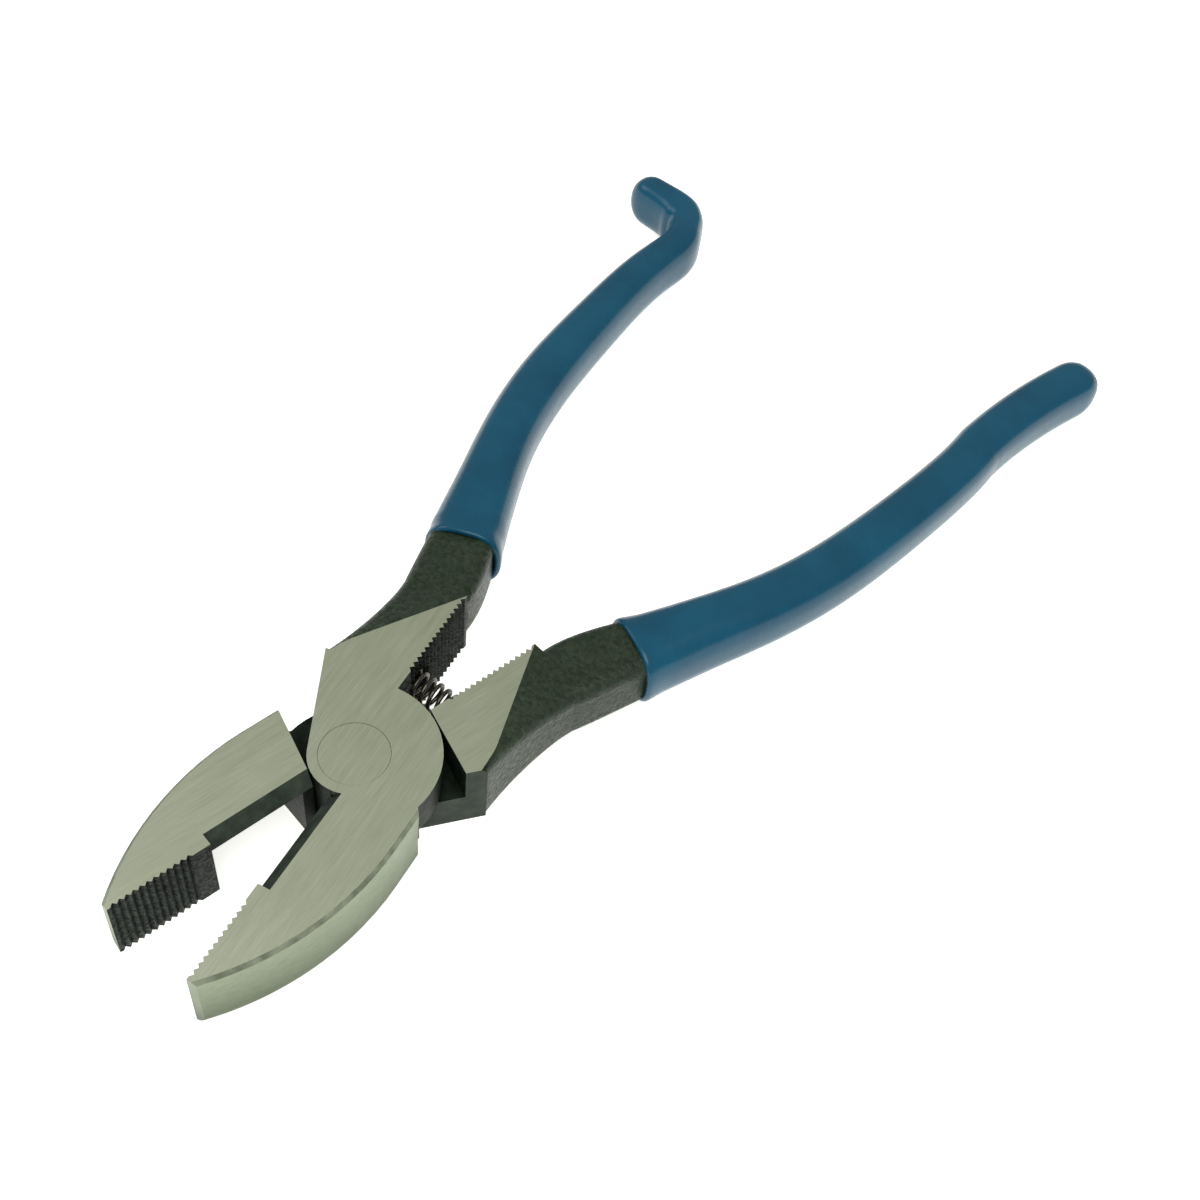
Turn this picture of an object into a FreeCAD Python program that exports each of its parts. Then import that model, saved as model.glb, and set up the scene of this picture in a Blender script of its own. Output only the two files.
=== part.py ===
"""Lineman pliers: two forged halves on one rivet, a return spring and two dipped grips.

Both halves start as the same forging. Each is drawn closed in a frame of its own:
the rivet's axis is Z, the nose points along -Y, the handle along +Y and the jaw lies on -X.
The joint disc fills the lower half of the thickness. The upper half is the same shape
turned over about Y, so its disc lies on top of the other one.
"""
import FreeCAD, Part
import math
import os

import Sketcher
from FreeCAD import Placement, Rotation, Vector

doc = FreeCAD.newDocument("LinemanPliers")

# ------------------------------------------------------------------ driving dimensions, mm
SIZES = [
    # head
    ("head_thickness", 15.9),       # bottom face to top face
    ("nose_reach", 48.3),           # rivet axis to the flat nose
    ("nose_width", 1.9),            # flat nose, one half
    ("head_width", 15.9),           # contact line to the jaw's outer side
    ("jaw_straight", 12.0),         # rivet axis to where the outer side starts to curve
    ("jaw_gap", 0.1),               # each jaw face stays this far off the contact line
    ("edge_break", 0.7),            # rough chamfer along the jaw's outer top edge
    ("edge_rounding", 3.0),         # the same edge underneath
    # jaw teeth
    ("jaw_tooth_count", 12),
    ("jaw_tooth_pitch", 1.28),
    ("jaw_tooth_depth", 0.55),
    # side cutter
    ("cutter_front", 28.9),         # rivet axis to the front end of the blades
    ("cutter_relief", 2.45),        # width of the bevel on the top face
    ("cutter_depth", 2.3),          # cutting edge below the top face
    ("hollow_width", 7.8),          # back relief at the bottom face
    ("hollow_heel", 10.8),          # rivet axis to the end of the back relief
    # joint
    ("disc_radius", 15.4),          # joint disc on the jaw's own side
    ("throat_radius", 8.2),         # joint disc on the other side
    ("joint_play", 0.28),           # between a disc and the shoulder that runs round it
    ("face_play", 0.04),            # between the two discs
    ("jaw_shoulder_angle", 12.8),   # shoulder on the jaw, from the X axis
    ("handle_shoulder_angle", 12.3),
    ("stop_angle", 25.0),           # normal of the straight stop edge, below the X axis
    ("rivet_radius", 6.35),
    ("rivet_play", 0.04),
    ("rivet_chamfer", 0.05),
    ("half_opening", 10.8),         # each half turned out from closed, degrees
    # ground root of the handle
    ("handle_gap", 0.8),            # inner handle face off the contact line
    ("corner_reach", 16.3),         # rivet axis to the outer corner, along Y
    ("ground_end", 39.7),           # end of the ground triangle
    ("root_drop", 1.75),            # forged surface below the ground face
    ("root_slope_run", 7.0),
    ("root_rounding", 2.2),
    ("serration_clear", 4.5),       # handle shoulder to the first groove
    ("serration_count", 15),
    ("serration_pitch", 1.28),
    ("serration_depth", 0.65),
    # handle and grips
    ("grip_wall", 1.3),
    ("straight_grip_start", 53.6),
    ("hooked_grip_start", 51.2),
    ("grip_end_wall", 2.2),
    ("tail_radius", 130.0),         # gentle outward sweep of both handle ends
    ("tail_length", 37.5),
    ("hook_radius", 4.9),
    ("hook_turn", 78.0),
    ("hook_length", 13.5),
    # return spring
    ("spring_radius", 2.6),         # to the wire's centre
    ("spring_wire", 0.8),
    ("spring_coils", 7.0),
    ("spring_seat_reach", 22.8),
    ("spring_seat_radius", 3.7),
    ("spring_seat_depth", 4.0),
]

# Handle course: distance along Y, centre on X, width and thickness of the forged steel.
HANDLE_COURSE = [
    (36.0, 7.7, 11.4, 12.0),
    (43.0, 7.95, 13.5, 12.6),
    (51.0, 9.45, 13.3, 12.2),
    (60.0, 11.7, 11.9, 11.6),
    (70.0, 14.1, 10.4, 11.1),
    (84.0, 17.2, 9.3, 10.4),
    (104.0, 19.0, 8.8, 9.8),
]
STRAIGHT_COURSE = [(125.0, 18.2, 8.3, 9.4), (150.0, 15.0, 7.9, 9.0)]
HOOK_COURSE = [(125.0, 18.0, 7.7, 9.4), (150.0, 14.6, 6.3, 9.0), (162.5, 14.4, 5.5, 9.2)]
CORE_CORNER = 2.4                   # corner radius of the forged section

sheet = doc.addObject("Spreadsheet::Sheet", "size")
for row, (alias, value) in enumerate(SIZES, start=1):
    sheet.set("A%d" % row, alias)
    sheet.set("B%d" % row, str(value))
    sheet.setAlias("B%d" % row, alias)
doc.recompute()


def size(alias):
    """One driving dimension, read from the sheet."""
    return float(sheet.get(alias))


THICKNESS = size("head_thickness")
MIDDLE = THICKNESS / 2


# ------------------------------------------------------------------ drawing helpers
def plane_sketch(body, role, name, offset=None):
    """A sketch on one of the body's own origin planes, moved by offset."""
    sketch = body.newObject("Sketcher::SketchObject", name)
    planes = [item for item in body.Origin.OriginFeatures if item.Role == role]
    sketch.AttachmentSupport = [(planes[0], "")]
    sketch.MapMode = "FlatFace"
    if offset is not None:
        sketch.AttachmentOffset = offset
    return sketch


def draw(sketch, start, steps):
    """A closed outline: a step (x, y) is a line, a step (xm, ym, x, y) an arc."""
    first = Vector(start[0], start[1], 0)
    here = first
    for step in steps:
        there = Vector(step[-2], step[-1], 0)
        if len(step) == 4:
            sketch.addGeometry(Part.Arc(here, Vector(step[0], step[1], 0), there))
        else:
            sketch.addGeometry(Part.LineSegment(here, there))
        here = there
    if not here.isEqual(first, 1e-7):
        sketch.addGeometry(Part.LineSegment(here, first))


def draw_circle(sketch, x, y, alias):
    """A circle whose radius is bound to one cell of the sheet."""
    circle = sketch.addGeometry(Part.Circle(Vector(x, y, 0), Vector(0, 0, 1), size(alias)))
    row = sketch.addConstraint(Sketcher.Constraint("Radius", circle, size(alias)))
    sketch.renameConstraint(row, "radius")
    sketch.setExpression("Constraints.radius", "size.%s" % alias)


def pad(body, sketch, name, length):
    """Pad a sketch up from its plane; length is an expression."""
    feature = body.newObject("PartDesign::Pad", name)
    feature.Profile = sketch
    feature.setExpression("Length", length)
    doc.recompute()
    return feature


def pocket(body, sketch, name, length, both_ways=False, turned=False):
    """Pocket a sketch and make sure that it took material away."""
    before = body.Shape.Volume
    feature = body.newObject("PartDesign::Pocket", name)
    feature.Profile = sketch
    feature.setExpression("Length", length)
    feature.Midplane = both_ways
    feature.Reversed = turned
    doc.recompute()
    if not feature.Shape.Volume < before - 1e-3:
        raise ValueError("%s cuts nothing" % name)
    return feature


def repeat(body, feature, sketch, count, pitch):
    """Repeat a pocket along the sketch's vertical axis."""
    pattern = body.newObject("PartDesign::LinearPattern", feature.Name + "_row")
    pattern.Originals = [feature]
    pattern.Direction = (sketch, ["V_Axis"])
    pattern.setExpression("Length", "(size.%s - 1) * size.%s" % (count, pitch))
    pattern.setExpression("Occurrences", "size.%s" % count)
    body.Tip = pattern
    doc.recompute()
    return pattern


def on_line(angle, distance, x):
    """The y of the line at this distance from the rivet whose normal points at angle."""
    turn = math.radians(angle)
    return (distance - x * math.cos(turn)) / math.sin(turn)


def on_circle(radius, angle):
    return (radius * math.cos(math.radians(angle)), radius * math.sin(math.radians(angle)))


# ------------------------------------------------------------------ forged handle
def heading(course, index):
    """Direction of the handle at one station, from the stations either side of it."""
    before = course[max(index - 1, 0)]
    after = course[min(index + 1, len(course) - 1)]
    return math.atan2(after[1] - before[1], after[0] - before[0])


def station_sketch(body, name, station, lean, wall):
    """A rounded rectangle across the handle; wall is added all round."""
    reach, centre, width, depth = station
    turn = Rotation(Vector(0, 1, 0), -math.degrees(lean))
    sketch = plane_sketch(body, "XZ_Plane", name, Placement(Vector(centre, MIDDLE, -reach), turn))
    half_w = width / 2 + wall
    half_d = depth / 2 + wall
    corner = CORE_CORNER + wall
    bulge = corner * (1 - math.sqrt(0.5))
    draw(sketch, (-half_w + corner, -half_d), [
        (half_w - corner, -half_d),
        (half_w - bulge, -half_d + bulge, half_w, -half_d + corner),
        (half_w, half_d - corner),
        (half_w - bulge, half_d - bulge, half_w - corner, half_d),
        (-half_w + corner, half_d),
        (-half_w + bulge, half_d - bulge, -half_w, half_d - corner),
        (-half_w, -half_d + corner),
        (-half_w + bulge, -half_d + bulge, -half_w + corner, -half_d),
    ])
    return sketch


def tail_path(body, name, station, lean, hooked, trim):
    """The last stretch of the handle: an outward sweep, or a tight hook and its end."""
    sketch = plane_sketch(body, "XY_Plane", name, Placement(Vector(0, 0, MIDDLE), Rotation()))
    start = Vector(station[1], station[0], 0)
    if hooked:
        radius = size("hook_radius")
        turn = math.radians(size("hook_turn"))
        length = size("hook_length") - trim
    else:
        radius = size("tail_radius")
        turn = (size("tail_length") - trim) / radius
        length = 0
    centre = start + Vector(math.cos(lean), -math.sin(lean), 0) * radius

    def on_arc(angle):
        return centre + Vector(-math.cos(lean + angle), math.sin(lean + angle), 0) * radius

    end = on_arc(turn)
    sketch.addGeometry(Part.Arc(start, on_arc(turn / 2), end))
    if length:
        along = Vector(math.sin(lean + turn), math.cos(lean + turn), 0)
        sketch.addGeometry(Part.LineSegment(end, end + along * length))
    doc.recompute()
    return sketch


def handle_solid(body, prefix, hooked, wall, trim, additive=True):
    """Loft through the stations, then a sweep along the tail."""
    course = HANDLE_COURSE + (HOOK_COURSE if hooked else STRAIGHT_COURSE)
    kind = "Additive" if additive else "Subtractive"
    leans = [heading(course, index) for index in range(len(course))]
    stations = [
        station_sketch(body, "%s_station_%d" % (prefix, index), station, leans[index], wall)
        for index, station in enumerate(course)
    ]
    doc.recompute()
    loft = body.newObject("PartDesign::%sLoft" % kind, prefix + "_loft")
    loft.Profile = stations[0]
    loft.Sections = stations[1:]
    doc.recompute()
    path = tail_path(body, prefix + "_path", course[-1], leans[-1], hooked, trim)
    end_station = station_sketch(body, prefix + "_end_station", course[-1], leans[-1], wall)
    doc.recompute()
    pipe = body.newObject("PartDesign::%sPipe" % kind, prefix + "_tail")
    pipe.Profile = end_station
    pipe.Spine = (path, ["Edge%d" % (n + 1) for n in range(len(path.Geometry))])
    doc.recompute()
    return pipe


# ------------------------------------------------------------------ one forged half
def jaw_outline(sketch):
    """Full-thickness jaw: flat nose, long outer arc, straight shoulder, contact face."""
    gap, wide = size("jaw_gap"), size("head_width")
    nose, nose_wide = size("nose_reach"), size("nose_width")
    straight = size("jaw_straight")
    shoulder = size("throat_radius") + size("joint_play")
    normal = 270 - size("jaw_shoulder_angle")
    run, rise = wide - nose_wide, nose - straight
    radius = (run * run + rise * rise) / (2 * run)
    half_turn = math.asin(rise / radius) / 2
    middle = (-wide + radius * (1 - math.cos(half_turn)), -straight - radius * math.sin(half_turn))
    draw(sketch, (-gap, -nose), [
        (-nose_wide, -nose),
        (middle[0], middle[1], -wide, -straight),
        (-wide, on_line(normal, shoulder, -wide)),
        (-gap, on_line(normal, shoulder, -gap)),
    ])


def stop_edge(y):
    """X of the straight stop edge, which is tangent to the throat circle."""
    turn = math.radians(size("stop_angle"))
    return (size("throat_radius") + y * math.sin(turn)) / math.cos(turn)


def disc_outline(sketch):
    """Half-thickness plate: joint disc, throat arc, stop edge and the start of the handle."""
    wide, disc, throat = size("head_width"), size("disc_radius"), size("throat_radius")
    relief, corner, gap = size("cutter_relief"), size("corner_reach"), size("handle_gap")
    inner_y = math.sqrt(disc * disc - gap * gap)
    inside_root = disc + size("joint_play") + 2.6
    side_y = math.sqrt(disc * disc - (disc - 0.4) ** 2)
    throat_y = -math.sqrt(throat * throat - relief * relief)
    low = -size("jaw_straight")
    draw(sketch, (-wide, low), [
        (-wide, -side_y - 1.2),
        (-disc + 0.4, -side_y),
        on_circle(disc, 145) + (gap, inner_y),
        (gap, inside_root),
        (stop_edge(corner), corner),
        on_circle(throat, -size("stop_angle")),
        on_circle(throat, -65) + (-relief, throat_y),
        (-relief, low),
    ])


def shoulder_y(x):
    """The handle shoulder, which runs across the root just outside the disc."""
    normal = 90 - size("handle_shoulder_angle")
    return on_line(normal, size("disc_radius") + size("joint_play"), x)


def root_outline(sketch):
    """Full-thickness root of the handle, from its shoulder to where the forging takes over."""
    gap, corner = size("handle_gap"), size("corner_reach")
    shoulder = size("disc_radius") + size("joint_play")
    edge_turn = math.radians(size("stop_angle"))
    throat = size("throat_radius")
    turn = math.radians(90 - size("handle_shoulder_angle"))
    # where the shoulder line meets the stop edge
    y_meet = (shoulder * math.cos(edge_turn) - throat * math.cos(turn)) / math.sin(turn + edge_turn)
    reach, centre, width = HANDLE_COURSE[1][:3]
    draw(sketch, (gap, shoulder_y(gap)), [
        (stop_edge(y_meet), y_meet),
        (stop_edge(corner), corner),
        (centre + width / 2 - 0.4, 28.0, centre + width / 2 - 0.5, reach - 1),
        (gap, size("ground_end")),
    ])


def slope_sketch(body, name, top):
    """Profile across the ground triangle's long side: a slope, then a flat."""
    corner, end, gap = size("corner_reach"), size("ground_end"), size("handle_gap")
    along = math.atan2(end - corner, gap - stop_edge(corner))
    run, drop = size("root_slope_run"), size("root_drop")
    turn = Rotation(Vector(0, 1, 0), math.degrees(along) - 90)
    middle = Vector((gap + stop_edge(corner)) / 2, (corner + end) / 2, 0)
    sketch = plane_sketch(body, "XZ_Plane", name, Placement(Vector(middle.x, 0, -middle.y), turn))
    face, inside = (THICKNESS, -1) if top else (0, 1)
    level = face + inside * drop
    outside = face - inside
    draw(sketch, (0, face), [(run, level), (60, level), (60, outside), (0, outside)])
    return sketch


def cutter_sketch(body, name, flipped, hollow):
    """Triangle across the blade: the top bevel, or the deep relief behind the edge."""
    front = Placement(Vector(0, 0, size("cutter_front")), Rotation())
    sketch = plane_sketch(body, "XZ_Plane", name, front)
    edge = THICKNESS - size("cutter_depth")
    gap = size("jaw_gap")
    if hollow:
        points = [(-gap, edge), (-size("hollow_width"), 0), (-size("hollow_width"), -1), (1, -1), (1, edge)]
    else:
        points = [(-gap, edge), (-size("cutter_relief"), THICKNESS),
                  (-size("cutter_relief"), THICKNESS + 1), (1, THICKNESS + 1), (1, edge)]
    if flipped:
        points = [(x, THICKNESS - z) for x, z in points]
    draw(sketch, points[0], points[1:])
    return sketch


def outer_edges(body, level):
    """The edges along the jaw's outer side at this height."""
    names = []
    for n, edge in enumerate(body.Shape.Edges):
        box = edge.BoundBox
        curved = isinstance(edge.Curve, Part.Circle) and edge.Curve.Radius > 2 * size("disc_radius")
        straight = box.XMax < -size("head_width") + 1e-6
        if box.ZLength < 1e-6 and abs(box.ZMin - level) < 1e-6 and (curved or straight):
            names.append("Edge%d" % (n + 1))
    return names


def finish_jaw_edges(body, flipped):
    """The ground top leaves a rough break along the jaw; underneath the edge is rounded."""
    top, underside = (0, THICKNESS) if flipped else (THICKNESS, 0)
    plain = body.Tip
    edges = outer_edges(body, underside)
    rounding = body.newObject("PartDesign::Fillet", "edge_rounding")
    rounding.Base = (plain, edges)
    rounding.setExpression("Radius", "size.edge_rounding")
    doc.recompute()
    edges = outer_edges(body, top)
    edge_break = body.newObject("PartDesign::Chamfer", "edge_break")
    edge_break.Base = (rounding, edges)
    edge_break.setExpression("Size", "size.edge_break")
    doc.recompute()


def tooth_sketch(body, name, face_x, into, first_y, pitch, depth):
    """One V groove across a gripping face."""
    sketch = plane_sketch(body, "XY_Plane", name)
    proud = 0.05
    draw(sketch, (face_x - into * proud, first_y - pitch / 2), [
        (face_x, first_y - pitch / 2 + 0.03),
        (face_x + into * depth, first_y),
        (face_x, first_y + pitch / 2 - 0.03),
        (face_x - into * proud, first_y + pitch / 2),
    ])
    return sketch


def forged_half(name, hooked, flipped):
    body = doc.addObject("PartDesign::Body", name)
    body.Label = name

    root = plane_sketch(body, "XY_Plane", "root_outline")
    root_outline(root)
    pad(body, root, "root", "size.head_thickness")
    for face, top in (("top", True), ("bottom", False)):
        slope = slope_sketch(body, "slope_%s_outline" % face, top)
        pocket(body, slope, "slope_%s" % face, "120", both_ways=True)
    # the forging's own rounding along the handle's outer side
    long_edges = [
        "Edge%d" % (n + 1) for n, edge in enumerate(body.Shape.Edges)
        if edge.CenterOfMass.x > 12 and edge.CenterOfMass.y > size("corner_reach") + 1
        and edge.BoundBox.YLength > 1
    ]
    ground_root = body.Tip
    rounding = body.newObject("PartDesign::Fillet", "root_rounding")
    rounding.Base = (ground_root, long_edges)
    rounding.setExpression("Radius", "size.root_rounding")
    doc.recompute()

    handle_solid(body, "handle", hooked, 0.0, size("grip_end_wall"))
    jaw = plane_sketch(body, "XY_Plane", "jaw_outline")
    jaw_outline(jaw)
    pad(body, jaw, "jaw", "size.head_thickness")
    disc = plane_sketch(body, "XY_Plane", "disc_outline")
    disc_outline(disc)
    pad(body, disc, "disc", "size.head_thickness / 2 - size.face_play / 2")

    finish_jaw_edges(body, flipped)
    bevel = cutter_sketch(body, "bevel_outline", flipped, hollow=False)
    pocket(body, bevel, "bevel", "size.cutter_front - size.throat_radius")
    hollow = cutter_sketch(body, "hollow_outline", flipped, hollow=True)
    pocket(body, hollow, "hollow", "size.cutter_front - size.hollow_heel")

    first = -size("nose_reach") + size("jaw_tooth_pitch")
    tooth = tooth_sketch(body, "jaw_tooth_outline", -size("jaw_gap"), -1, first,
                         size("jaw_tooth_pitch"), size("jaw_tooth_depth"))
    groove = pocket(body, tooth, "jaw_tooth", "4 * size.head_thickness", both_ways=True)
    repeat(body, groove, tooth, "jaw_tooth_count", "jaw_tooth_pitch")

    first = shoulder_y(size("handle_gap")) + size("serration_clear")
    tooth = tooth_sketch(body, "serration_outline", size("handle_gap"), 1, first,
                         size("serration_pitch"), size("serration_depth"))
    groove = pocket(body, tooth, "serration", "4 * size.head_thickness", both_ways=True)
    repeat(body, groove, tooth, "serration_count", "serration_pitch")

    seat_place = Placement(Vector(size("spring_seat_reach"), MIDDLE, size("handle_gap")), Rotation())
    seat = plane_sketch(body, "YZ_Plane", "spring_seat_outline", seat_place)
    draw_circle(seat, 0, 0, "spring_seat_radius")
    pocket(body, seat, "spring_seat", "size.spring_seat_depth", turned=True)

    bore = plane_sketch(body, "XY_Plane", "bore_outline")
    draw_circle(bore, 0, 0, "rivet_radius")
    if flipped:
        bore.setExpression("Constraints.radius", "size.rivet_radius + size.rivet_play")
    pocket(body, bore, "bore", "4 * size.head_thickness", both_ways=True)
    return body


def dipped_grip(name, hooked):
    body = doc.addObject("PartDesign::Body", name)
    body.Label = name
    handle_solid(body, "skin", hooked, size("grip_wall"), 0.0)
    handle_solid(body, "core", hooked, 0.0, size("grip_end_wall"), additive=False)
    mouth = plane_sketch(body, "XY_Plane", "mouth_outline")
    start = size("hooked_grip_start" if hooked else "straight_grip_start")
    draw(mouth, (-20, 0), [(40, 0), (40, start - 4), (-20, start + 6)])
    pocket(body, mouth, "mouth", "4 * size.head_thickness", both_ways=True)
    return body


def place_half(body, flipped):
    """Turn the finished half over if it is the upper one, then open it about the rivet."""
    opening = size("half_opening")
    if flipped:
        over = Placement(Vector(0, 0, THICKNESS), Rotation(Vector(0, 1, 0), 180))
        body.Placement = Placement(Vector(), Rotation(Vector(0, 0, 1), opening)).multiply(over)
    else:
        body.Placement = Placement(Vector(), Rotation(Vector(0, 0, 1), -opening))


lower_half = forged_half("lower_half", hooked=False, flipped=False)
upper_half = forged_half("upper_half", hooked=True, flipped=True)
straight_grip = dipped_grip("straight_grip", hooked=False)
hooked_grip = dipped_grip("hooked_grip", hooked=True)
place_half(lower_half, False)
place_half(straight_grip, False)
place_half(upper_half, True)
place_half(hooked_grip, True)

# ------------------------------------------------------------------ pivot rivet
rivet = doc.addObject("PartDesign::Body", "pivot_rivet")
rivet.Label = "pivot_rivet"
shank_sketch = plane_sketch(rivet, "XY_Plane", "shank_outline")
draw_circle(shank_sketch, 0, 0, "rivet_radius")
shank = pad(rivet, shank_sketch, "shank", "size.head_thickness")
rims = ["Edge%d" % (n + 1) for n, edge in enumerate(shank.Shape.Edges)
        if isinstance(edge.Curve, Part.Circle)]
rim = rivet.newObject("PartDesign::Chamfer", "rim")
rim.Base = (shank, rims)
rim.setExpression("Size", "size.rivet_chamfer")
doc.recompute()

# ------------------------------------------------------------------ return spring
seat_x = size("handle_gap") + size("spring_seat_depth")
turn = math.radians(size("half_opening"))
reach = size("spring_seat_reach")
spring_half = seat_x * math.cos(turn) + reach * math.sin(turn) - size("spring_wire") / 2 - 0.7
spring_y = reach * math.cos(turn) - (seat_x + size("handle_gap")) / 2 * math.sin(turn)
helix = doc.addObject("Part::Helix", "spring_line")
helix.Pitch = 2 * spring_half / size("spring_coils")
helix.Height = 2 * spring_half
helix.setExpression("Radius", "size.spring_radius")
wire = doc.addObject("Part::Circle", "spring_wire_section")
wire.setExpression("Radius", "size.spring_wire / 2")
wire.Placement = Placement(Vector(size("spring_radius"), 0, 0), Rotation(Vector(1, 0, 0), 90))
spring = doc.addObject("Part::Sweep", "return_spring")
spring.Label = "return_spring"
spring.Sections = [wire]
spring.Spine = helix
spring.Solid = True
spring.Frenet = True
spring.Placement = Placement(Vector(-spring_half, spring_y, MIDDLE), Rotation(Vector(0, 1, 0), 90))

doc.recompute()
pieces = [lower_half, upper_half, rivet, spring, straight_grip, hooked_grip]
for item in doc.Objects:
    if "Invalid" in item.State or "Error" in item.State:
        raise ValueError("%s failed: %s" % (item.Name, item.State))
os.makedirs("parts", exist_ok=True)
for piece in pieces:
    shape = piece.Shape
    if shape.isNull() or not shape.isValid() or len(shape.Solids) != 1:
        raise ValueError("%s is not one valid solid" % piece.Label)
    print("%-14s %9.1f mm3  %s" % (piece.Label, shape.Volume, shape.BoundBox))
    shape.exportStep("parts/%s.step" % piece.Label)
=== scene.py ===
"""Looks of the lineman pliers: ground and blackened forgings, return spring and dipped grips."""

import math

import bmesh
import bpy
from mathutils import Matrix, Vector
from mathutils.bvhtree import BVHTree


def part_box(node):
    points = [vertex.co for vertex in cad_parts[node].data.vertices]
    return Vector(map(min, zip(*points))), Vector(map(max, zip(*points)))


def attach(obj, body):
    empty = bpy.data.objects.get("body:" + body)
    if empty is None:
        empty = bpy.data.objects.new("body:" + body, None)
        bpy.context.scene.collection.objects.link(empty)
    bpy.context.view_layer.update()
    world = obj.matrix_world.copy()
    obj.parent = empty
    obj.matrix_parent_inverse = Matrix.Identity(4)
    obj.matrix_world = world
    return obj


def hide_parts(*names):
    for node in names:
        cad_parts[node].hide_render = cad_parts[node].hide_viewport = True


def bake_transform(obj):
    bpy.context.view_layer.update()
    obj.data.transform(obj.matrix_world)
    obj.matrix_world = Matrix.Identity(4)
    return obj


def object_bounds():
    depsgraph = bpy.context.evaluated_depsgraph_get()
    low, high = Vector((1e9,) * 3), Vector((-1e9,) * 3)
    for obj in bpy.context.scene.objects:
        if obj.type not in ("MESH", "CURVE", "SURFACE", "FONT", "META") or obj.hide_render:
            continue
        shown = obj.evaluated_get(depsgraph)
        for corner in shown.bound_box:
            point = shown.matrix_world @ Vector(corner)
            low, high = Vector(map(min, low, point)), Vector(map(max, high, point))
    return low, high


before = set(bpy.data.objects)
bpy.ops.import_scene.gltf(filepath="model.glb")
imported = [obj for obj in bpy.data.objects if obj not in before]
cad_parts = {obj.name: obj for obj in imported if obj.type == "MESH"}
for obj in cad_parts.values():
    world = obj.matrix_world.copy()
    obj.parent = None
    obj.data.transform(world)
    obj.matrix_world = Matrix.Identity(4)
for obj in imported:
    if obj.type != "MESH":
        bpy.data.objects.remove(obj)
cad_low, cad_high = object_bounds()
MM = 0.001


# ---------------------------------------------------------------- forged halves
# Two drop forgings of tool steel, blackened after hardening. The head's top and bottom
# faces and the jaws' outer sides are ground bright again, which leaves the grinding lines
# running along each half. The blades, teeth and joint faces keep the black finish.
HALF_OPENING = math.radians(10.8)
HEAD_THICKNESS = cad_high.z
CUTTER_FRONT = 28.9 * MM
CUTTER_DEPTH = 2.3 * MM
JAW_HEEL = 5.0 * MM
ROOT_START = 15.6 * MM
ROOT_END = 40.3 * MM
ROOT_SHOULDER = 0.8 * MM
ROOT_SIDE_OFFSET = 7 * MM
NOSE_FLAT_START = 40 * MM
TEETH_SIDE = 0.9 * MM
SERRATION_SIDE = 1.7 * MM
FACE_SLACK = 0.02 * MM
EDGE_SLACK = 0.05 * MM

# from the shared frame into each half's own frame: nose on -Y, its jaw on -X
lower_to_own = Matrix.Rotation(HALF_OPENING, 4, "Z")
turn_over = Matrix.Translation((0, 0, HEAD_THICKNESS)) @ Matrix.Rotation(math.pi, 4, "Y")
upper_to_own = turn_over @ Matrix.Rotation(-HALF_OPENING, 4, "Z")


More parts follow.
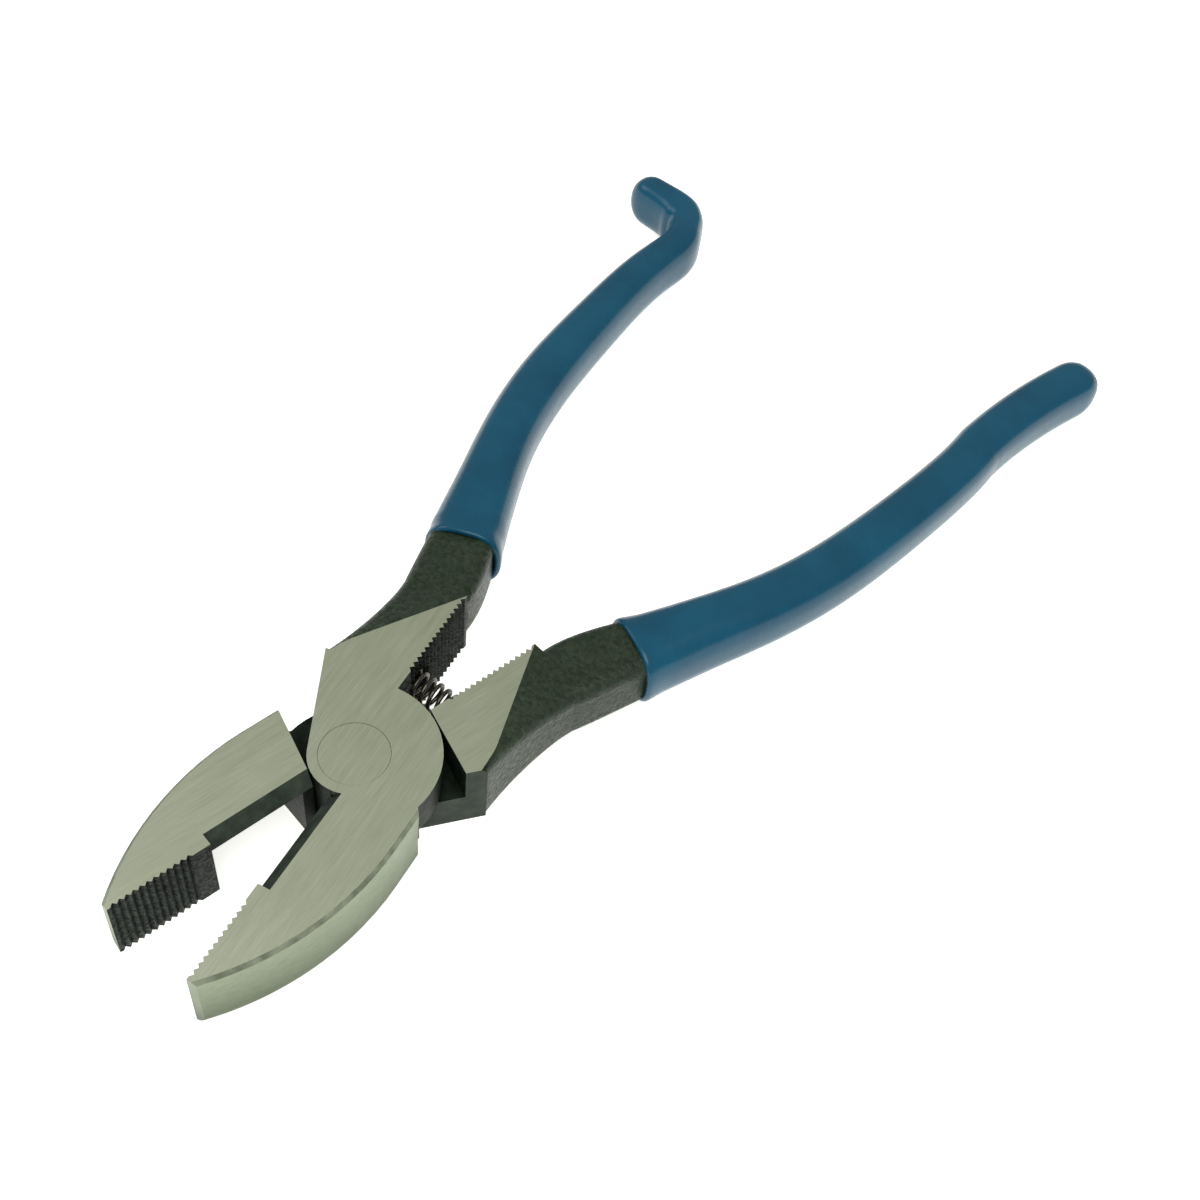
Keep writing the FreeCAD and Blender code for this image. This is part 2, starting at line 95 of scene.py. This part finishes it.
class Finish:
    """A material's node tree, with short ways to add the nodes that these finishes share."""

    def __init__(self, name, roughness, metallic=0.0):
        self.material = bpy.data.materials.new(name)
        self.material.use_nodes = True
        self.nodes = self.material.node_tree.nodes
        self.shader = self.nodes["Principled BSDF"]
        self.shader.inputs["Metallic"].default_value = metallic
        self.shader.inputs["Roughness"].default_value = roughness
        self.place = self.nodes.new("ShaderNodeTexCoord").outputs["Object"]

    def link(self, output, socket):
        self.material.node_tree.links.new(output, socket)

    def noise(self, size, turn=0.0, detail=3.0, roughness=0.55, distortion=0.0):
        """Noise whose cells measure size = (x, y, z) metres, turned about Z."""
        turned = self.nodes.new("ShaderNodeMapping")
        turned.vector_type = "POINT"
        turned.inputs["Rotation"].default_value = (0, 0, turn)
        self.link(self.place, turned.inputs["Vector"])
        sized = self.nodes.new("ShaderNodeMapping")
        sized.inputs["Scale"].default_value = [1 / extent for extent in size]
        self.link(turned.outputs["Vector"], sized.inputs["Vector"])
        noise = self.nodes.new("ShaderNodeTexNoise")
        noise.inputs["Scale"].default_value = 1.0
        noise.inputs["Detail"].default_value = detail
        noise.inputs["Roughness"].default_value = roughness
        noise.inputs["Distortion"].default_value = distortion
        self.link(sized.outputs["Vector"], noise.inputs["Vector"])
        return noise.outputs["Fac"]

    def height(self, low, high):
        """0 at z = low rising to 1 at z = high."""
        split = self.nodes.new("ShaderNodeSeparateXYZ")
        self.link(self.place, split.inputs["Vector"])
        return self.span(split.outputs["Z"], 0.0, 1.0, low, high)

    def ramp(self, value, *stops):
        """Colours along a value: stops are (position, (r, g, b))."""
        node = self.nodes.new("ShaderNodeValToRGB")
        ramp = node.color_ramp
        while len(ramp.elements) < len(stops):
            ramp.elements.new(0.5)
        for element, (position, colour) in zip(ramp.elements, stops):
            element.position = position
            element.color = (*colour, 1)
        self.link(value, node.inputs["Fac"])
        return node.outputs["Color"]

    def span(self, value, low, high, start=0.3, end=0.7):
        """A value from start to end, stretched to low to high."""
        node = self.nodes.new("ShaderNodeMapRange")
        node.inputs["From Min"].default_value = start
        node.inputs["From Max"].default_value = end
        node.inputs["To Min"].default_value = low
        node.inputs["To Max"].default_value = high
        self.link(value, node.inputs["Value"])
        return node.outputs["Result"]

    def blend(self, amount, first, second, mode="MIX"):
        node = self.nodes.new("ShaderNodeMix")
        node.data_type = "RGBA"
        node.blend_type = mode
        if isinstance(amount, float):
            node.inputs["Factor"].default_value = amount
        else:
            self.link(amount, node.inputs["Factor"])
        self.link(first, node.inputs["A"])
        self.link(second, node.inputs["B"])
        return node.outputs["Result"]

    def bump(self, height, depth, strength=1.0):
        """Raise the surface by depth metres where height is 1; bumps add up."""
        node = self.nodes.new("ShaderNodeBump")
        node.inputs["Strength"].default_value = strength
        node.inputs["Distance"].default_value = depth
        self.link(height, node.inputs["Height"])
        if self.shader.inputs["Normal"].is_linked:
            self.link(self.shader.inputs["Normal"].links[0].from_socket, node.inputs["Normal"])
        self.link(node.outputs["Normal"], self.shader.inputs["Normal"])

    def colour(self, output):
        self.link(output, self.shader.inputs["Base Color"])

    def rough(self, output):
        self.link(output, self.shader.inputs["Roughness"])


def ground_steel(name, turn):
    """Surface-ground steel: fine scratches along the half, with a faint grey-green cloud."""
    finish = Finish(name, roughness=0.4, metallic=1.0)
    lines = finish.noise((0.24 * MM, 7 * MM, 2 * MM), turn, detail=4, roughness=0.6)
    broad = finish.noise((1.1 * MM, 20 * MM, 4 * MM), turn, detail=2)
    cloud = finish.noise((12 * MM, 16 * MM, 9 * MM), detail=3)
    scratched = finish.ramp(lines, (0.3, (0.40, 0.415, 0.325)), (0.7, (0.49, 0.51, 0.405)))
    tinted = finish.ramp(cloud, (0.35, (0.93, 0.95, 0.90)), (0.65, (1.0, 1.0, 1.0)))
    finish.colour(finish.blend(1.0, scratched, tinted, "MULTIPLY"))
    finish.rough(finish.span(broad, 0.42, 0.5))
    finish.bump(lines, 0.004 * MM, 0.5)
    return finish.material


def satin_steel():
    """The jaws' outer sides, ground freehand: short soft scratches across the jaw, and painted shade
    that darkens them towards the lower edge.
    """
    finish = Finish("satin_steel", roughness=0.45, metallic=1.0)
    lines = finish.noise((1.6 * MM, 1.6 * MM, 0.35 * MM), detail=5, roughness=0.7)
    cloud = finish.noise((7 * MM, 7 * MM, 5 * MM), detail=3)
    scratched = finish.ramp(lines, (0.3, (0.21, 0.24, 0.175)), (0.7, (0.285, 0.32, 0.24)))
    tinted = finish.ramp(cloud, (0.35, (0.88, 0.92, 0.86)), (0.65, (1.0, 1.0, 0.95)))
    ground = finish.blend(1.0, scratched, tinted, "MULTIPLY")
    # painted shade: the side is darkened towards its lower edge, standing in for the shading over
    # the bottom fillet
    painted_shade_height = finish.height(0.0, HEAD_THICKNESS)
    shade = finish.ramp(painted_shade_height, (0.0, (0.30, 0.32, 0.29)), (0.5, (0.72, 0.74, 0.70)), (0.9, (1, 1, 1)))
    finish.colour(finish.blend(1.0, ground, shade, "MULTIPLY"))
    finish.rough(finish.span(cloud, 0.38, 0.52))
    finish.bump(lines, 0.02 * MM, 0.5)
    return finish.material


def forged_black():
    """The forging's own pebbled skin under black oxide."""
    finish = Finish("forged_black", roughness=0.45)
    finish.shader.inputs["IOR"].default_value = 1.3
    pebbles = finish.noise((1.0 * MM, 1.0 * MM, 1.0 * MM), detail=4, distortion=0.6)
    grit = finish.noise((0.22 * MM, 0.22 * MM, 0.22 * MM), detail=2)
    cloud = finish.noise((9 * MM, 9 * MM, 9 * MM), detail=3)
    oxide = finish.ramp(pebbles, (0.35, (0.014, 0.022, 0.013)), (0.7, (0.036, 0.052, 0.032)))
    tinted = finish.ramp(cloud, (0.35, (0.72, 0.80, 0.74)), (0.65, (1.0, 1.0, 0.96)))
    finish.colour(finish.blend(1.0, oxide, tinted, "MULTIPLY"))
    finish.rough(finish.span(pebbles, 0.48, 0.28))
    finish.bump(pebbles, 0.28 * MM, 1.0)
    finish.bump(grit, 0.03 * MM, 0.5)
    return finish.material


def machined_black(name, dark, light, roughness):
    """Milled before blackening: smooth, with faint cutter lines."""
    finish = Finish(name, roughness=roughness)
    finish.shader.inputs["IOR"].default_value = 1.18
    lines = finish.noise((3 * MM, 3 * MM, 0.25 * MM), detail=3)
    cloud = finish.noise((3 * MM, 3 * MM, 3 * MM), detail=3)
    finish.colour(finish.ramp(cloud, (0.35, dark), (0.68, light)))
    finish.rough(finish.span(lines, roughness - 0.08, roughness + 0.1))
    finish.bump(lines, 0.02 * MM, 0.5)
    return finish.material


def knurled_black():
    """Gripping faces: a fine cross-cut over the V grooves, near black and a little oily."""
    finish = Finish("knurled_black", roughness=0.42)
    finish.shader.inputs["IOR"].default_value = 1.18
    cross = finish.noise((0.9 * MM, 0.9 * MM, 0.7 * MM), detail=1, roughness=0.4, distortion=1.2)
    finish.colour(finish.ramp(cross, (0.42, (0.001, 0.002, 0.001)), (0.62, (0.026, 0.038, 0.029))))
    finish.rough(finish.span(cross, 0.5, 0.34))
    finish.bump(cross, 0.12 * MM, 0.8)
    return finish.material


shared_finishes = [
    satin_steel(),
    forged_black(),
    machined_black("joint_black", (0.004, 0.007, 0.004), (0.013, 0.019, 0.014), 0.42),
    machined_black("blade_black", (0.024, 0.032, 0.025), (0.05, 0.062, 0.049), 0.34),
    knurled_black(),
    machined_black("edge_scale", (0.13, 0.145, 0.105), (0.24, 0.265, 0.20), 0.5),
    machined_black("root_side", (0.020, 0.029, 0.021), (0.038, 0.050, 0.038), 0.42),
]
GROUND, SATIN, FORGED, JOINT, BLADE, KNURLED, SCALE, ROOT_SIDE = range(8)


def finish_of(world_z, centre, normal):
    """Which finish a facet has, from its place and direction on its closed half."""
    level = abs(normal.z) > 0.999
    on_face = min(abs(world_z), abs(world_z - HEAD_THICKNESS)) < FACE_SLACK
    in_blades = -CUTTER_FRONT - EDGE_SLACK < centre.y < -JAW_HEEL
    above_bevel = world_z > HEAD_THICKNESS - CUTTER_DEPTH - EDGE_SLACK
    if level:
        if on_face:
            return GROUND
        return FORGED if centre.y > ROOT_START else JOINT
    if centre.y < -JAW_HEEL:
        nose_flat = normal.y < -0.95 and centre.y < -NOSE_FLAT_START
        if normal.x < -0.1 or nose_flat:
            strip = world_z > HEAD_THICKNESS / 2 and abs(normal.z) > 0.5
            return SCALE if strip else SATIN
        if centre.y < -CUTTER_FRONT and centre.x > -TEETH_SIDE:
            return KNURLED
        if in_blades and abs(normal.z) > 0.3 and above_bevel:
            return BLADE
        return JOINT
    if centre.y < ROOT_START + ROOT_SHOULDER:
        return ROOT_SIDE if normal.x > 0.8 and centre.x > ROOT_SIDE_OFFSET else JOINT
    if centre.y < ROOT_END and centre.x < SERRATION_SIDE and abs(normal.z) < 0.5:
        return KNURLED
    return FORGED


def finish_half(node_name, to_own, turn):
    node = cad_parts[node_name]
    node.data.materials.clear()
    for material in [ground_steel(node_name + "_ground", turn), *shared_finishes]:
        node.data.materials.append(material)
    for facet in node.data.polygons:
        centre = to_own @ facet.center
        normal = to_own.to_3x3() @ facet.normal
        facet.material_index = finish_of(facet.center.z, centre, normal)


finish_half("lower_half", lower_to_own, HALF_OPENING)
finish_half("upper_half", upper_to_own, -HALF_OPENING)


# ---------------------------------------------------------------- pivot rivet
# A cold-headed steel rivet, set through both halves and then ground off flush with the
# faces, so only its rim shows as a fine ring.
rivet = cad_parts["pivot_rivet"]
rivet.data.materials.clear()
rivet.data.materials.append(ground_steel("rivet_ground", -HALF_OPENING))


# ---------------------------------------------------------------- return spring
# An open-coil spring of dark oil-tempered wire in two blind seats, one in each handle
# root. It pushes the handles apart; here it is a single still coil that neither handle carries.
spring_low, spring_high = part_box("return_spring")
SPRING_WIRE = 0.8 * MM
COIL_RADIUS = (spring_high.z - spring_low.z - SPRING_WIRE) / 2
END_TURNS = 1.25
OPEN_TURNS = 7.0
END_PITCH = 1.05 * MM
STEPS_PER_TURN = 28
spring_length = spring_high.x - spring_low.x - SPRING_WIRE
spring_start = Vector((spring_low.x + SPRING_WIRE / 2,
                       (spring_low.y + spring_high.y) / 2,
                       (spring_low.z + spring_high.z) / 2))
open_length = spring_length - 2 * END_TURNS * END_PITCH


def spring_wire_finish():
    """Dark, slightly glossy drawn wire."""
    finish = Finish("spring_wire", roughness=0.3, metallic=0.8)
    draw_marks = finish.noise((0.5 * MM, 0.5 * MM, 0.5 * MM), detail=3)
    finish.colour(finish.ramp(draw_marks, (0.35, (0.045, 0.04, 0.03)), (0.7, (0.13, 0.12, 0.095))))
    finish.rough(finish.span(draw_marks, 0.24, 0.4))
    finish.bump(draw_marks, 0.01 * MM, 0.5)
    return finish.material


shape = bmesh.new()
section = bmesh.ops.create_circle(shape, segments=10, radius=SPRING_WIRE / 2)["verts"]
bmesh.ops.translate(shape, verts=section, vec=spring_start + Vector((0, COIL_RADIUS, 0)))
ends = {edge for vert in section for edge in vert.link_edges}
first_ring = list(ends)
geometry = list(section) + first_ring
for turns, length in ((END_TURNS, END_TURNS * END_PITCH), (OPEN_TURNS, open_length),
                      (END_TURNS, END_TURNS * END_PITCH)):
    steps = round(turns * STEPS_PER_TURN)
    spun = bmesh.ops.spin(shape, geom=geometry, cent=spring_start, axis=(1, 0, 0),
                          dvec=(length / steps, 0, 0), angle=math.tau * turns, steps=steps)
    geometry = spun["geom_last"]
last_ring = [item for item in geometry if isinstance(item, bmesh.types.BMEdge)]
for ring in (first_ring, last_ring):
    bmesh.ops.edgeloop_fill(shape, edges=ring)
bmesh.ops.recalc_face_normals(shape, faces=shape.faces)


def make_piece(name, shape, material):
    """A smooth-shaded mesh object from a bmesh that is already in place."""
    mesh = bpy.data.meshes.new(name)
    for face in shape.faces:
        face.smooth = True
    shape.to_mesh(mesh)
    shape.free()
    mesh.materials.append(material)
    piece = bpy.data.objects.new(name, mesh)
    bpy.context.scene.collection.objects.link(piece)
    return piece


spring = make_piece("coil_spring", shape, spring_wire_finish())
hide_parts("return_spring")
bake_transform(spring)


# ---------------------------------------------------------------- dipped grips
# Each handle is dipped in blue vinyl, which follows the steel, rounds off over its end and
# is thickest at the lip where the dip stopped. The skin is about 1.3 mm thick.
LIP_PROFILE = [(3.0 * MM, -1.2 * MM), (0.5 * MM, -1.15 * MM), (0.08 * MM, -0.85 * MM),
               (0, -0.4 * MM), (0.12 * MM, 0.08 * MM), (0.6 * MM, 0.26 * MM),
               (1.3 * MM, 0.2 * MM), (2.4 * MM, 0.04 * MM)]
# the march along the sleeve: its step, how far out it feels for the skin, its first heading
SLEEVE_STEP = 1.4 * MM
FEELER = 9.5 * MM
SLANT = Vector((0.24, 0.97, 0))
DOME_STEPS = (0.25, 0.5, 0.7, 0.85, 0.94, 0.985)
DOME_LENGTH = 5 * MM
DOME_POWER = 2.4
RING_SEGMENTS = 48
SQUARE_AT_LIP = 2.6
SQUARE_AT_END = 3.1
HOOK_SMOOTHING = 3


def vinyl_finish():
    """Glossy plastisol: deep blue, with slow ripples from the dip and faint dust."""
    finish = Finish("blue_vinyl", roughness=0.24)
    finish.shader.inputs["IOR"].default_value = 1.38
    ripple = finish.noise((11 * MM, 11 * MM, 11 * MM), detail=2)
    dust = finish.noise((0.8 * MM, 0.8 * MM, 0.8 * MM), detail=3)
    finish.colour(finish.ramp(ripple, (0.35, (0.001, 0.058, 0.112)), (0.65, (0.002, 0.074, 0.138))))
    finish.rough(finish.span(dust, 0.21, 0.3))
    finish.bump(ripple, 0.25 * MM, 0.35)
    return finish.material


blue_vinyl = vinyl_finish()


def follow_sleeve(sleeve, to_own):
    """March along a CAD sleeve: (centre, heading, half width, half depth) at each step."""
    solid = bmesh.new()
    solid.from_mesh(sleeve.data)
    bmesh.ops.transform(solid, matrix=to_own, verts=solid.verts)
    tree = BVHTree.FromBMesh(solid)
    mouth = min(vert.co.y for vert in solid.verts)
    around_mouth = [vert.co.x for vert in solid.verts if vert.co.y < mouth + 8 * MM]
    solid.free()
    here = Vector(((min(around_mouth) + max(around_mouth)) / 2, mouth, HEAD_THICKNESS / 2))
    heading = SLANT.normalized()
    upright = Vector((0, 0, 1))
    stations = []
    while True:
        side = Vector((heading.y, -heading.x, 0))
        skin = [tree.ray_cast(here + way * FEELER, -way, FEELER)[0]
                for way in (side, -side, upright, -upright)]
        if None in skin:
            if len(stations) > 1:
                break
            here = here + heading * SLEEVE_STEP / 5
            continue
        centre = Vector((*((skin[0] + skin[1]) / 2).xy, HEAD_THICKNESS / 2))
        if stations:
            heading = (centre - stations[-1][0]).normalized()
        stations.append((centre, heading.copy(), (skin[0] - skin[1]).length / 2,
                         (skin[2] - skin[3]).length / 2))
        here = centre + heading * SLEEVE_STEP
    tip = tree.ray_cast(centre + heading * FEELER, -heading, FEELER)[0]
    reach = (tip - stations[-1][0]).dot(heading)
    # even out the headings, so that the rings fan smoothly round the tail's bend
    for index in range(1, len(stations) - 1):
        ahead = stations[index + 1][0] - stations[index - 1][0]
        stations[index] = (stations[index][0], ahead.normalized(), *stations[index][2:])
    return stations, reach


def ring_around(shape, centre, heading, half_width, half_depth, power):
    """A rounded-square loop across the handle; a higher power has squarer corners."""
    made = bmesh.ops.create_circle(shape, segments=RING_SEGMENTS, radius=1.0)["verts"]
    side = Vector((heading.y, -heading.x, 0))
    for vert in made:
        across = math.copysign(abs(vert.co.x) ** (2 / power), vert.co.x) * half_width
        up = math.copysign(abs(vert.co.y) ** (2 / power), vert.co.y) * half_depth
        vert.co = centre + side * across + Vector((0, 0, up))
    return made


def ring_edges(ring):
    inside = set(ring)
    return [edge for edge in {edge for vert in ring for edge in vert.link_edges}
            if edge.verts[0] in inside and edge.verts[1] in inside]


def dipped_grip(piece_name, node_name, to_own, smoothing):
    """One grip, from its rolled lip to its rounded end, over the CAD sleeve's own course."""
    stations, reach = follow_sleeve(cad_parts[node_name], to_own)
    count = len(stations)
    shape = bmesh.new()
    rings = []
    # the lip, from inside the sleeve out over its rounded edge
    for along, growth in LIP_PROFILE:
        centre, heading, half_width, half_depth = stations[0]
        rings.append(ring_around(shape, centre + heading * along, heading,
                                 half_width + growth, half_depth + growth, SQUARE_AT_LIP))
    # the sleeve itself, up to where its end starts to round over
    last = count - 1
    while (stations[count - 1][0] - stations[last][0]).length + reach < DOME_LENGTH:
        last -= 1
    for index in range(3, last + 1):
        centre, heading, half_width, half_depth = stations[index]
        power = SQUARE_AT_LIP + (SQUARE_AT_END - SQUARE_AT_LIP) * index / count
        rings.append(ring_around(shape, centre, heading, half_width, half_depth, power))
    # the rounded end
    centre, heading, half_width, half_depth = stations[last]
    room = (stations[count - 1][0] - centre).length + reach
    for share in DOME_STEPS:
        shrink = (1 - share ** DOME_POWER) ** (1 / DOME_POWER)
        rings.append(ring_around(shape, centre + heading * room * share, heading,
                                 half_width * shrink, half_depth * shrink, SQUARE_AT_END - share))
    loops = [ring_edges(ring) for ring in rings]
    for first, second in zip(loops, loops[1:]):
        bmesh.ops.bridge_loops(shape, edges=first + second)
    bmesh.ops.edgeloop_fill(shape, edges=loops[-1])
    bmesh.ops.edgeloop_fill(shape, edges=loops[0])
    # the vinyl fills the tight inside of a bend, which evens out the crowded rings there
    tail = [vert for ring in rings[-3 * len(DOME_STEPS):-len(DOME_STEPS)] for vert in ring]
    for _ in range(smoothing):
        bmesh.ops.smooth_vert(shape, verts=tail, factor=0.5, use_axis_x=True, use_axis_y=True,
                              use_axis_z=True)
    bmesh.ops.transform(shape, matrix=to_own.inverted(), verts=shape.verts)
    bmesh.ops.recalc_face_normals(shape, faces=shape.faces)
    grip = make_piece(piece_name, shape, blue_vinyl)
    smooth = grip.modifiers.new("smooth", "SUBSURF")
    smooth.levels = smooth.render_levels = 1
    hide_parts(node_name)
    return grip


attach(dipped_grip("straight_handle_grip", "straight_grip", lower_to_own, 0),
        "lower_body")
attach(dipped_grip("hooked_handle_grip", "hooked_grip", upper_to_own, HOOK_SMOOTHING),
        "upper_body")


# ---------------------------------------------------------------- studio
# Plain white sweep, with a large soft light above the camera's side and a weaker one from
# the left, under a pale surround that is a little brighter overhead.
def world_light():
    world = bpy.data.worlds.new("studio")
    bpy.context.scene.world = world
    world.use_nodes = True
    nodes, links = world.node_tree.nodes, world.node_tree.links
    background = nodes["Background"]
    direction = nodes.new("ShaderNodeTexCoord").outputs["Generated"]
    split = nodes.new("ShaderNodeSeparateXYZ")
    links.new(direction, split.inputs[0])
    ramp = nodes.new("ShaderNodeValToRGB")
    ramp.color_ramp.elements[0].position = 0.0
    ramp.color_ramp.elements[0].color = (0.30, 0.31, 0.285, 1)
    ramp.color_ramp.elements[1].position = 0.9
    ramp.color_ramp.elements[1].color = (0.52, 0.54, 0.495, 1)
    links.new(split.outputs["Z"], ramp.inputs["Fac"])
    seen = nodes.new("ShaderNodeLightPath").outputs["Is Camera Ray"]
    mix = nodes.new("ShaderNodeMix")
    mix.data_type = "RGBA"
    mix.inputs["B"].default_value = (1, 1, 1, 1)
    links.new(seen, mix.inputs["Factor"])
    links.new(ramp.outputs["Color"], mix.inputs["A"])
    links.new(mix.outputs["Result"], background.inputs["Color"])


def soft_light(name, place, target, width, power):
    data = bpy.data.lights.new(name, "AREA")
    data.shape = "SQUARE"
    data.size = width
    data.energy = power
    light = bpy.data.objects.new(name, data)
    light.location = place
    light.rotation_euler = (Vector(target) - Vector(place)).to_track_quat("-Z", "Y").to_euler()
    bpy.context.scene.collection.objects.link(light)


world_light()
soft_light("overhead", (0.22, -0.2, 0.75), (0, 0.06, 0), 0.6, 4.5)
soft_light("side_fill", (-0.6, -0.1, 0.5), (0, 0.05, 0), 0.4, 1.0)

floor_shape = bmesh.new()
bmesh.ops.create_grid(floor_shape, x_segments=1, y_segments=1, size=3.0)
bmesh.ops.translate(floor_shape, verts=floor_shape.verts, vec=(0, 0, -0.2 * MM))
paper = Finish("white_paper", roughness=0.8)
paper.shader.inputs["Base Color"].default_value = (0.8, 0.8, 0.8, 1)
paper.shader.inputs["Emission Color"].default_value = (1, 1, 0.94, 1)
paper.shader.inputs["Emission Strength"].default_value = 0.75
floor = make_piece("floor", floor_shape, paper.material)

camera_data = bpy.data.cameras.new("camera")
camera_data.lens = 50.25
camera_data.clip_start = 0.01
camera = bpy.data.objects.new("camera", camera_data)
camera.location = (0.11438, -0.10677, 0.26507)
camera.rotation_euler = [math.radians(angle) for angle in (37.358, -4.556, 38.592)]
bpy.context.scene.collection.objects.link(camera)
bpy.context.scene.camera = camera
bpy.context.scene.view_settings.view_transform = "Standard"
